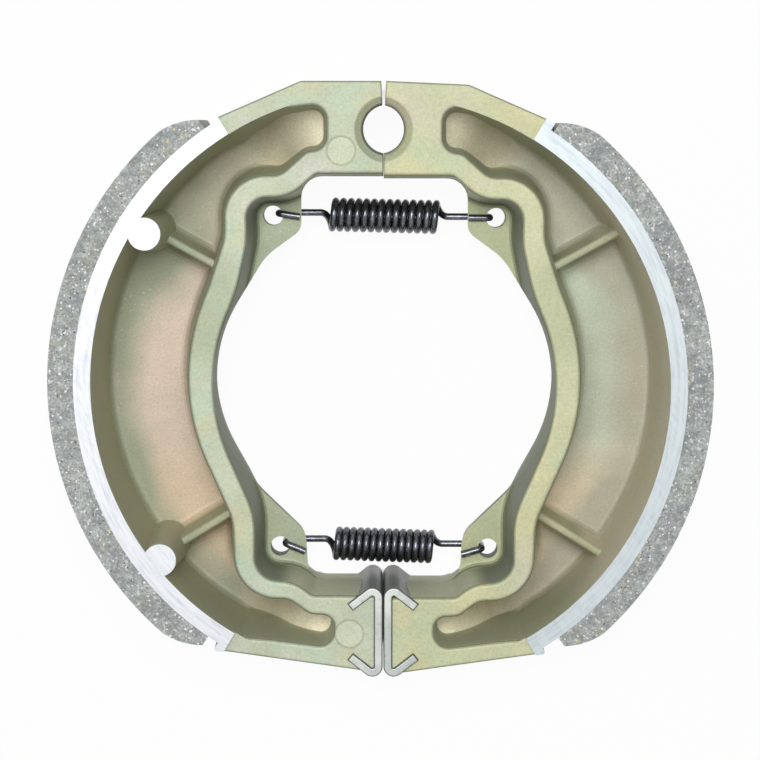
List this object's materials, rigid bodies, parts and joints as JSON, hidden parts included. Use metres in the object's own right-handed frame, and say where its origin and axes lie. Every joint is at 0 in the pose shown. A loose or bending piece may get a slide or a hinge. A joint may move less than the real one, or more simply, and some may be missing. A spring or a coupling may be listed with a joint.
{
  "type": "brake shoe set",
  "caption": "Pair of die-cast drum brake shoes with bonded friction linings, sheet-metal cam plates and return springs hooked through their ears.",
  "frame": {"origin": "on the drum's axis, in the plane of the shoes' back faces, where the two shoes meet", "axes": "+Z along the drum's axis from the flat backs to the open troughs, +Y towards the anchor pin end, +X towards the right shoe as seen from the front"},
  "size_m": [0.1287, 0.1156, 0.028],
  "materials": {
    "shoe_casting": "matt die-cast aluminium with a pale yellow-green passivation, rim faces machined bright",
    "friction_lining": "grey moulded friction material with light and dark flecks",
    "cam_plate": "satin bright zinc plating",
    "spring_wire": "gloss black coated spring wire"
  },
  "bodies": {
    "left_half": {"left_shoe": "shoe_casting", "left_lining": "friction_lining", "left_cam_plate": "cam_plate", "upper_spring": "spring_wire", "lower_spring": "spring_wire"},
    "right_half": {"right_shoe": "shoe_casting", "right_lining": "friction_lining", "right_cam_plate": "cam_plate"}
  },
  "joints": [
    {"name": "anchor_hinge", "type": "hinge", "parent": "left_half", "child": "right_half", "pos_m": [0, 0.0496, 0.0141], "axis": [0, 0, 1], "range_deg": [0, 5], "stiffness_Nm_per_rad": 2.2, "springref_deg": -5.16, "deforming": ["upper_spring", "lower_spring"]}
  ]
}
